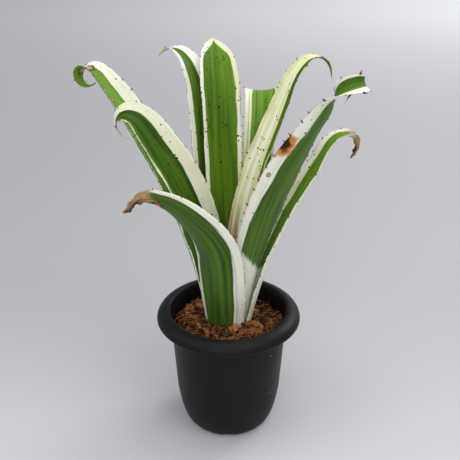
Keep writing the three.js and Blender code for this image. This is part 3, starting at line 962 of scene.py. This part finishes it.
def blade_shape(blade):
    """The blade as a grid rolled into a closed flat tube. The map blade holds the shares across and along
    the leaf, and the map side tells its upper face from its underside."""
    rows = len(blade.rows) - 1
    columns = blade.settings.columns
    sides = 2 * (columns + 1)
    shape = bmesh.new()
    place_map = shape.loops.layers.uv.new("blade")
    face_map = shape.loops.layers.uv.new("side")
    bmesh.ops.create_grid(shape, x_segments=sides, y_segments=rows, size=0.5)
    spots = {}
    for vert in shape.verts:
        k = round((vert.co.x + 0.5) * sides)
        i = round((vert.co.y + 0.5) * rows)
        spots[vert] = (k, i)
    for face in shape.faces:
        low = min(spots[v][0] for v in face.verts)
        upper = 1.0 if low > columns else 0.0
        for loop in face.loops:
            k, i = spots[loop.vert]
            k %= sides
            column = sides - 1 - k if k > columns else k
            loop[place_map].uv = (column / columns, i / rows)
            loop[face_map].uv = (upper, 0.5)
    for vert, (k, i) in spots.items():
        k %= sides
        over = k > columns
        column = sides - 1 - k if over else k
        across = 2 * column / columns - 1
        row = blade.rows[i]
        lift = blade.thickness(row, across) / 2 * (1 if over else -1)
        if i in (0, rows):
            lift = 0
        vert.co = blade.point(row, across, lift)
    bmesh.ops.remove_doubles(shape, verts=shape.verts, dist=1e-6)
    bmesh.ops.recalc_face_normals(shape, faces=shape.faces)
    return shape


def add_spines(shape, blade, rng):
    """Small hooked thorns along both margins, as thin cones that lean towards the tip."""
    settings = blade.settings
    rows = blade.rows
    rows_per_mm = settings.rows / blade.leaf.length
    for side in (-1, 1):
        at = settings.spine_step * rng.uniform(2.5, 4)
        while at < blade.leaf.length * MM * SPINES_UNTIL:
            row = rows[min(int(at / MM * rows_per_mm), len(rows) - 1)]
            away, forward = blade.outwards(row, side)
            aim = (away + forward * rng.uniform(0.1, 0.6)).normalized()
            length = settings.spine_length * rng.uniform(0.6, 1.25) * blade.leaf.look.thorns
            width = length * 0.28
            foot = blade.point(row, side * 0.995, 0) + aim * (length / 2 - width * 0.6)
            turn = Z_AXIS.rotation_difference(aim).to_matrix().to_4x4()
            cone = bmesh.ops.create_cone(shape, cap_ends=True, segments=6, radius1=width, radius2=SPINE_POINT,
                                         depth=length, matrix=Matrix.Translation(foot) @ turn)
            for face in {f for v in cone["verts"] for f in v.link_faces}:
                face.material_index = 1
            at += settings.spine_step * rng.uniform(0.7, 1.5)


# ---- leaf materials ----------------------------------------------------------------------------


VEIN_GREEN = (0.03, 0.06, 0.01, 1)
UNDERSIDE_GREY = (0.45, 0.52, 0.36, 1)
BLUSH_RED = (0.42, 0.05, 0.10, 1)
SPOT_BROWN = (0.022, 0.010, 0.008, 1)
SPOT_RED = (0.13, 0.010, 0.05, 1)
RIM_BROWN = (0.17, 0.07, 0.03, 1)
CHARRED_BROWN = (0.030, 0.016, 0.009, 1)
PATCH_STRAW = (0.52, 0.42, 0.26, 1)
PATCH_RUST = (0.30, 0.13, 0.05, 1)
PATCH_RING = (0.09, 0.028, 0.014, 1)
SCORCH_DARK = (0.045, 0.014, 0.008, 1)
SCORCH_ORANGE = (0.55, 0.22, 0.05, 1)
SPINE_DARK = (0.035, 0.010, 0.007, 1)
SPINE_BROWN = (0.16, 0.05, 0.025, 1)
SCORCHED_TONE = 0.75


def blade_group():
    """Node group: where the green band, its stripes, the marks and the veins lie on a leaf."""
    inputs = {"Band Left Base": 0.2, "Band Left Tip": 0.2, "Band Right Base": 0.8, "Band Right Tip": 0.8,
              "Width": 36, "Length": 250, "Seed": 0, "Stripes": 0.5, "Spots": 0.3, "Dry From": 0.95,
              "Closes From": 0.86, "Starts From": NO_START}
    outputs = ("Green", "Stripe", "Tone", "Spot", "Rim", "Dry", "Vein", "Side", "Along", "Middle")
    tree, w, given, out = new_group("leaf_marks", inputs, outputs)
    across, share = w.map_parts("blade")[:2]
    side = w.map_parts("side")[0]
    millimetres = w.vector(w.times(across, given["Width"]), w.times(share, given["Length"]), given["Seed"])

    def streaked(scale_across, scale_along, shift, detail=2.0):
        """Noise drawn out along the leaf, scaled per millimetre."""
        place = w.stretched(millimetres, (scale_across, scale_along, 1.0), (shift, shift * 1.7, shift))
        return w.noise(place, 1.0, detail)

    # the green band
    closing = w.math("POWER", w.math("MAXIMUM", w.step(share, given["Closes From"], 1.0), 0.0), 1.4)

    def limit(base, tip, shift):
        """One edge of the band, wandering a little along the leaf, and closing towards its tip."""
        straight = w.node("ShaderNodeMapRange", {0: share, 1: 0.0, 2: 1.0, 3: given[base],
                                                 4: given[tip]}).outputs[0]
        wander = w.times_plus(w.minus(streaked(0.0, 0.03, shift), 0.5), 0.12, straight)
        closed = w.minus(0.5, wander)
        return w.times_plus(closing, closed, wander)

    fine = w.times(w.minus(streaked(1.6, 0.02, 3.0), 0.5), 0.07)
    spot_across = w.plus(across, fine)
    left = limit("Band Left Base", "Band Left Tip", 11.0)
    right = limit("Band Right Base", "Band Right Tip", 23.0)
    soft = 0.014
    past_left = w.step(w.minus(spot_across, left), -soft, soft)
    past_right = w.step(w.minus(spot_across, right), -soft, soft, 1, 0)
    begun = w.minus(w.times_plus(across, -0.12, share), given["Starts From"])
    started = w.step(w.times_plus(fine, 0.5, begun), -0.010, 0.010)
    band = w.times(w.times(past_left, past_right), started)
    # pale lines in the band, and green ones beside it
    near_left = w.step(w.math("ABSOLUTE", w.minus(across, left)), 0.05, 0.12, 1, 0)
    near_right = w.step(w.math("ABSOLUTE", w.minus(across, right)), 0.05, 0.12, 1, 0)
    near_edge = w.math("MAXIMUM", near_left, near_right)
    stray = w.step(streaked(0.75, 0.003, 31.0, 1.0), 0.60, 0.63)
    lines = w.step(streaked(0.85, 0.004, 47.0, 1.5), 0.56, 0.66)
    pale = w.times(lines, given["Stripes"])
    outer = w.times(w.times(stray, near_edge), given["Stripes"])
    green = w.math("MAXIMUM", w.times(band, w.minus(1.0, w.times(pale, 0.06))), outer, clamp=True)
    # round spots, crowded in some stretches of the leaf
    crowd = w.step(streaked(0.02, 0.13, 53.0, 1.0), 0.46, 0.64, 0.5, 2.2)
    spot_place = w.stretched(millimetres, (0.34, 0.34, 1.0))
    cells = w.node("ShaderNodeTexVoronoi", {"Vector": spot_place, "Scale": 1.0, "Randomness": 1.0})
    chance = w.node("ShaderNodeSeparateColor", {0: cells.outputs["Color"]})
    chosen = w.math("LESS_THAN", chance.outputs[0], w.times(w.times(given["Spots"], 0.42), crowd))
    reach = w.times_plus(chance.outputs[1], 0.22, 0.11)
    round_spot = w.step(w.minus(cells.outputs["Distance"], reach), -0.06, 0.03, 1, 0)
    spot = w.times(chosen, round_spot)
    # brown margins, the dry tip and the veins
    from_middle = w.math("ABSOLUTE", w.minus(across, 0.5))
    rim = w.times(w.step(from_middle, 0.475, 0.497), w.step(streaked(0.0, 0.06, 5.0, 3.0), 0.48, 0.62))
    ragged = w.times_plus(w.minus(streaked(0.12, 0.07, 71.0, 4.0), 0.5), 0.10, share)
    dry = w.step(w.minus(ragged, given["Dry From"]), -0.012, 0.02)
    vein = w.plus(w.times(streaked(2.6, 0.02, 83.0, 2.0), 0.7), w.times(streaked(6.0, 0.3, 91.0, 2.0), 0.3))
    tone = streaked(0.25, 0.012, 61.0, 3.0)
    found = (green, pale, tone, spot, rim, dry, vein, side, share, from_middle)
    for label, value in zip(outputs, found):
        w.feed(out[label], value)
    return tree


def patch_group():
    """Node group: one dead patch on a leaf, laid over a colour. It is pale with a dark ring, or scorched in
    the middle and faded out when its tone is over SCORCHED_TONE."""
    inputs = {"Colour": (0, 0, 0, 1), "Across": 0.5, "Along": 0.5, "Patch Width": 0.3,
              "Patch Length": 0.05, "Tone": 0.5, "Seed": 0}
    tree, w, given, out = new_group("dead_patch", inputs, ("Colour", "Mask"))
    across, share = w.map_parts("blade")[:2]
    x = w.math("DIVIDE", w.minus(across, given["Across"]), given["Patch Width"])
    y = w.math("DIVIDE", w.minus(share, given["Along"]), given["Patch Length"])
    distance = w.math("SQRT", w.plus(w.times(x, x), w.times(y, y)))
    ragged = w.noise(w.vector(w.times(x, 2.0), w.times(y, 2.0), given["Seed"]), 1.2, 4)
    edge = w.times_plus(w.minus(ragged, 0.5), 0.9, distance)
    mask = w.step(edge, 0.86, 0.96, 1, 0)
    tan = w.mix(given["Tone"], PATCH_STRAW, PATCH_RUST)
    ringed = w.mix(w.step(edge, 0.35, 0.9), tan, PATCH_RING)
    scorched = w.mix(w.step(edge, 0.30, 0.62), SCORCH_DARK, SCORCH_ORANGE)
    faded = w.mix(w.step(edge, 0.62, 1.0), scorched, given["Colour"])
    burnt = w.math("GREATER_THAN", given["Tone"], SCORCHED_TONE)
    w.feed(out["Colour"], w.mix(mask, given["Colour"], w.mix(burnt, ringed, faded)))
    w.feed(out["Mask"], mask)
    return tree


def leaf_material(leaf, index, settings, marks, patch):
    """A variegated leaf: a striped green band between pale margins, with its own marks."""
    look = leaf.look
    material, w, shader = new_material(leaf.name, Subsurface_Weight=0.05, Subsurface_Scale=0.004,
                                       Subsurface_Radius=(0.6, 0.9, 0.25), IOR=1.4, Specular_IOR_Level=0.15)
    (left_base, right_base), (left_tip, right_tip) = look.band_base, look.band_tip
    values = {"Band Left Base": left_base, "Band Left Tip": left_tip, "Band Right Base": right_base,
              "Band Right Tip": right_tip, "Width": leaf.full * 2.0, "Length": float(leaf.length),
              "Seed": index * 7.3, "Stripes": look.stripes, "Spots": look.spots, "Dry From": look.dry,
              "Closes From": look.closes, "Starts From": look.starts}
    mark = w.node("ShaderNodeGroup", values, node_tree=marks).outputs

    # the green and the pale parts
    tone = w.plus(w.step(mark["Tone"], 0.0, 1.0), look.light - 0.5, clamp=True)
    green = w.mix(tone, paint(settings.deep), paint(settings.light))
    yellowed = w.times(w.step(mark["Tone"], 0.35, 0.6), look.cream, clamp=True)
    pale = w.mix(yellowed, paint(settings.white), paint(settings.cream))
    lined = w.mix(w.times(mark["Stripe"], 0.35), green, paint(settings.light))
    skin = w.mix(mark["Green"], pale, lined)
    veined = w.mix(w.step(mark["Vein"], 0.35, 0.65, 0.05, 0), skin, VEIN_GREEN)
    underside = w.times(w.minus(1.0, mark["Side"]), 0.03)
    faced = w.mix(underside, veined, UNDERSIDE_GREY)

    # the red flush in the cup, the spots and the margins
    low = w.step(mark["Along"], 0.30, 0.52, 1, 0)
    flush = w.times(w.times(low, look.blush), w.step(mark["Tone"], 0.50, 0.62))
    flushed = w.mix(w.times(flush, mark["Side"]), faced, BLUSH_RED)
    ink = w.mix(w.times(low, look.blush, clamp=True), SPOT_BROWN, SPOT_RED)
    spotted = w.mix(mark["Spot"], flushed, ink)
    final = w.mix(w.times(mark["Rim"], 0.7), spotted, RIM_BROWN)

    # dead patches and the dry tip
    dead = mark["Dry"]
    for number, spot in enumerate(look.patches):
        values = {"Colour": final, "Across": spot.across, "Along": spot.along, "Patch Width": spot.width,
                  "Patch Length": spot.length, "Tone": spot.tone, "Seed": index * 3.1 + number}
        placed = w.node("ShaderNodeGroup", values, node_tree=patch).outputs
        final = placed["Colour"]
        dead = w.math("MAXIMUM", dead, placed["Mask"])
    end = w.step(mark["Along"], look.dry + 0.02, look.dry + 0.07)
    charred = w.times(w.step(mark["Middle"], 0.08, 0.30, 1, 0), end)
    tan = w.mix(w.step(mark["Vein"], 0.35, 0.62), paint(settings.dried, 0.22), paint(settings.dried, 1.6))
    crisp = w.mix(w.times(charred, 0.85), tan, CHARRED_BROWN)
    gloss = w.step(mark["Tone"], 0.2, 0.8, 0.36, 0.50)
    w.feed(shader.inputs["Base Color"], w.mix(mark["Dry"], final, crisp))
    w.feed(shader.inputs["Roughness"], w.times_plus(dead, 0.35, gloss))
    w.feed(shader.inputs["Normal"], w.bump(mark["Vein"], 0.35, 0.0005))
    return material


def spine_material():
    """Reddish-brown thorns, darker in places."""
    material, w, shader = new_material("leaf_spine", Roughness=0.45)
    shade = w.noise(w.object_place(), 180, 2)
    w.feed(shader.inputs["Base Color"], w.mix(w.step(shade, 0.35, 0.65), SPINE_DARK, SPINE_BROWN))
    return material


class BROMELIAD_OT_leaves(bpy.types.Operator):
    """Grows the nine leaves of the rosette, with their margin spines"""

    bl_idname = "bromeliad.leaves"
    bl_label = "Leaves"

    def execute(self, context):
        settings = context.scene.bromeliad_leaves
        marks = blade_group()
        patch = patch_group()
        thorn = spine_material()
        for index, leaf in enumerate(LEAVES):
            blade = Blade(leaf, index, settings)
            shape = blade_shape(blade)
            add_spines(shape, blade, random.Random(100 + index))
            skin = leaf_material(leaf, index, settings, marks, patch)
            add_piece(leaf.name.replace("leaf_", "blade_"), shape, [skin, thorn], [leaf.name])
        return {"FINISHED"}


# ---- stage -------------------------------------------------------------------------------------


SUBJECT = (0, 0, 0.15)
LAMPS = (("key_light", (0.75, -0.75, 1.5), SUBJECT, 1.2, "key_power"),
         ("fill_light", (-1.3, -0.3, 1.3), SUBJECT, 1.3, "fill_power"),
         ("front_light", (-0.2, -1.6, 1.1), SUBJECT, 1.2, "front_power"),
         ("top_light", (0.1, 0.1, 1.7), SUBJECT, 1.0, "top_power"),
         ("floor_light", (2.4, 2.2, 2.2), (1.2, 2.0, 0), 2.0, "floor_power"))
STUDIO_WHITE = (0.90, 0.93, 1.0, 1)
STUDIO_STRENGTH = 0.46
CAMERA_SIDE = 1.26 * MM
SENSOR_WIDTH = 36


class BROMELIAD_OT_stage(bpy.types.Operator):
    """Sets the pale floor and backdrop, the soft lights and the camera"""

    bl_idname = "bromeliad.stage"
    bl_label = "Stage, lights and camera"

    def execute(self, context):
        settings = context.scene.bromeliad_stage
        self.add_sweep(settings)
        for name, place, target, width, setting in LAMPS:
            self.add_light(name, place, target, width, getattr(settings, setting))
        self.add_camera(context, settings)
        world = bpy.data.worlds.new("studio")
        context.scene.world = world
        world.use_nodes = True
        background = world.node_tree.nodes["Background"]
        background.inputs["Color"].default_value = STUDIO_WHITE
        background.inputs["Strength"].default_value = STUDIO_STRENGTH
        context.scene.view_settings.view_transform = "Standard"
        return {"FINISHED"}

    def add_sweep(self, settings):
        """A floor that curves up into a backdrop behind the plant."""
        shape = bmesh.new()
        half, near, back, turn, top = 6.0, -4.0, 3.0, 1.5, 5.0
        outline = [(near, 0.0), (back, 0.0)]
        outline += bezier([(back, 0.0), (back + turn, 0.0), (back + turn, turn)], 16)
        outline += [(back + turn, top)]
        verts = [shape.verts.new((-half, y, z)) for y, z in outline]
        edges = [shape.edges.new(pair) for pair in zip(verts, verts[1:])]
        wide = bmesh.ops.extrude_edge_only(shape, edges=edges)
        bmesh.ops.translate(shape, verts=[g for g in wide["geom"] if isinstance(g, bmesh.types.BMVert)],
                            vec=(2 * half, 0, 0))
        bmesh.ops.recalc_face_normals(shape, faces=shape.faces)
        mesh = bpy.data.meshes.new("sweep")
        shape.to_mesh(mesh)
        shape.free()
        mesh.polygons.foreach_set("use_smooth", [True] * len(mesh.polygons))
        mesh.materials.append(self.painted_light_paper_material(settings))
        floor = bpy.data.objects.new("sweep", mesh)
        bpy.context.scene.collection.objects.link(floor)

    def painted_light_paper_material(self, settings):
        """Paper with painted light and shade: brighter in front and at the back than round the plant, and
        darker to the left.
        """
        material, w, shader = new_material("sweep_paper", Roughness=0.75)
        x, y = w.parts(w.object_place())[:2]
        bearing = w.math("DIVIDE", x, w.math("MAXIMUM", w.plus(y, 0.8), 0.2))
        # painted light and shade: the paper darkens to the left and brightens to the right
        rightwards_painted_light = w.step(bearing, -0.35, 0.30)
        middle = w.mix(rightwards_painted_light, paint(settings.floor, 0.90), paint(settings.floor))
        back = w.mix(rightwards_painted_light, paint(settings.backdrop, 0.92), paint(settings.backdrop))
        # painted light: the far paper and the backdrop are brighter
        paper = w.mix(w.step(y, 0.35, 3.2), middle, back)
        # painted light: the paper in front of the pot is brighter, against the pot's shadow
        lit = w.mix(w.step(y, -0.30, 0.25), paint(settings.floor, 1.35), paper)
        w.feed(shader.inputs["Base Color"], lit)
        return material

    def add_light(self, name, place, target, width, energy):
        """A square soft light aimed at a point."""
        light = bpy.data.lights.new(name, "AREA")
        light.shape = "SQUARE"
        light.size = width
        light.energy = energy
        lamp = bpy.data.objects.new(name, light)
        lamp.location = place
        aim = Vector(target) - Vector(place)
        lamp.rotation_euler = aim.to_track_quat("-Z", "Y").to_euler()
        bpy.context.scene.collection.objects.link(lamp)

    def add_camera(self, context, settings):
        """The camera in front of the plant, looking down at it."""
        data = bpy.data.cameras.new("camera")
        data.sensor_width = SENSOR_WIDTH
        data.lens = settings.lens
        camera = bpy.data.objects.new("camera", data)
        camera.location = (CAMERA_SIDE, -settings.camera_distance, settings.camera_height)
        camera.rotation_euler = (math.pi / 2 - settings.camera_pitch, 0, 0)
        context.scene.collection.objects.link(camera)
        context.scene.camera = camera


# ---- panel and registration --------------------------------------------------------------------


OPERATORS = (BROMELIAD_OT_pot, BROMELIAD_OT_roots, BROMELIAD_OT_bark, BROMELIAD_OT_leaves,
             BROMELIAD_OT_stage)
SETTINGS = (("bromeliad_pot", PotSettings), ("bromeliad_bark", BarkSettings),
            ("bromeliad_leaves", LeafSettings), ("bromeliad_stage", StageSettings))


class BROMELIAD_PT_sidebar(bpy.types.Panel):
    """Lists the settings and the makers"""

    bl_label = "Potted Bromeliad"
    bl_idname = "BROMELIAD_PT_sidebar"
    bl_space_type = "VIEW_3D"
    bl_region_type = "UI"
    bl_category = "Bromeliad"

    def draw(self, context):
        for name, group in SETTINGS:
            box = self.layout.box()
            box.label(text=name.split("_")[1].title())
            for key in group.__annotations__:
                box.prop(getattr(context.scene, name), key)
        for operator in OPERATORS:
            self.layout.operator(operator.bl_idname)


def register():
    """Registers the settings, the operators and the panel."""
    for name, group in SETTINGS:
        bpy.utils.register_class(group)
        setattr(bpy.types.Scene, name, bpy.props.PointerProperty(type=group))
    for cls in (*OPERATORS, BROMELIAD_PT_sidebar):
        bpy.utils.register_class(cls)


def unregister():
    """Takes them out again."""
    for cls in (BROMELIAD_PT_sidebar, *reversed(OPERATORS)):
        bpy.utils.unregister_class(cls)
    for name, group in reversed(SETTINGS):
        delattr(bpy.types.Scene, name)
        bpy.utils.unregister_class(group)


def main():
    """Builds everything in order."""
    register()
    bpy.ops.bromeliad.pot()
    bpy.ops.bromeliad.roots()
    bpy.ops.bromeliad.bark()
    bpy.ops.bromeliad.leaves()
    bpy.ops.bromeliad.stage()


if __name__ == "__main__":
    main()
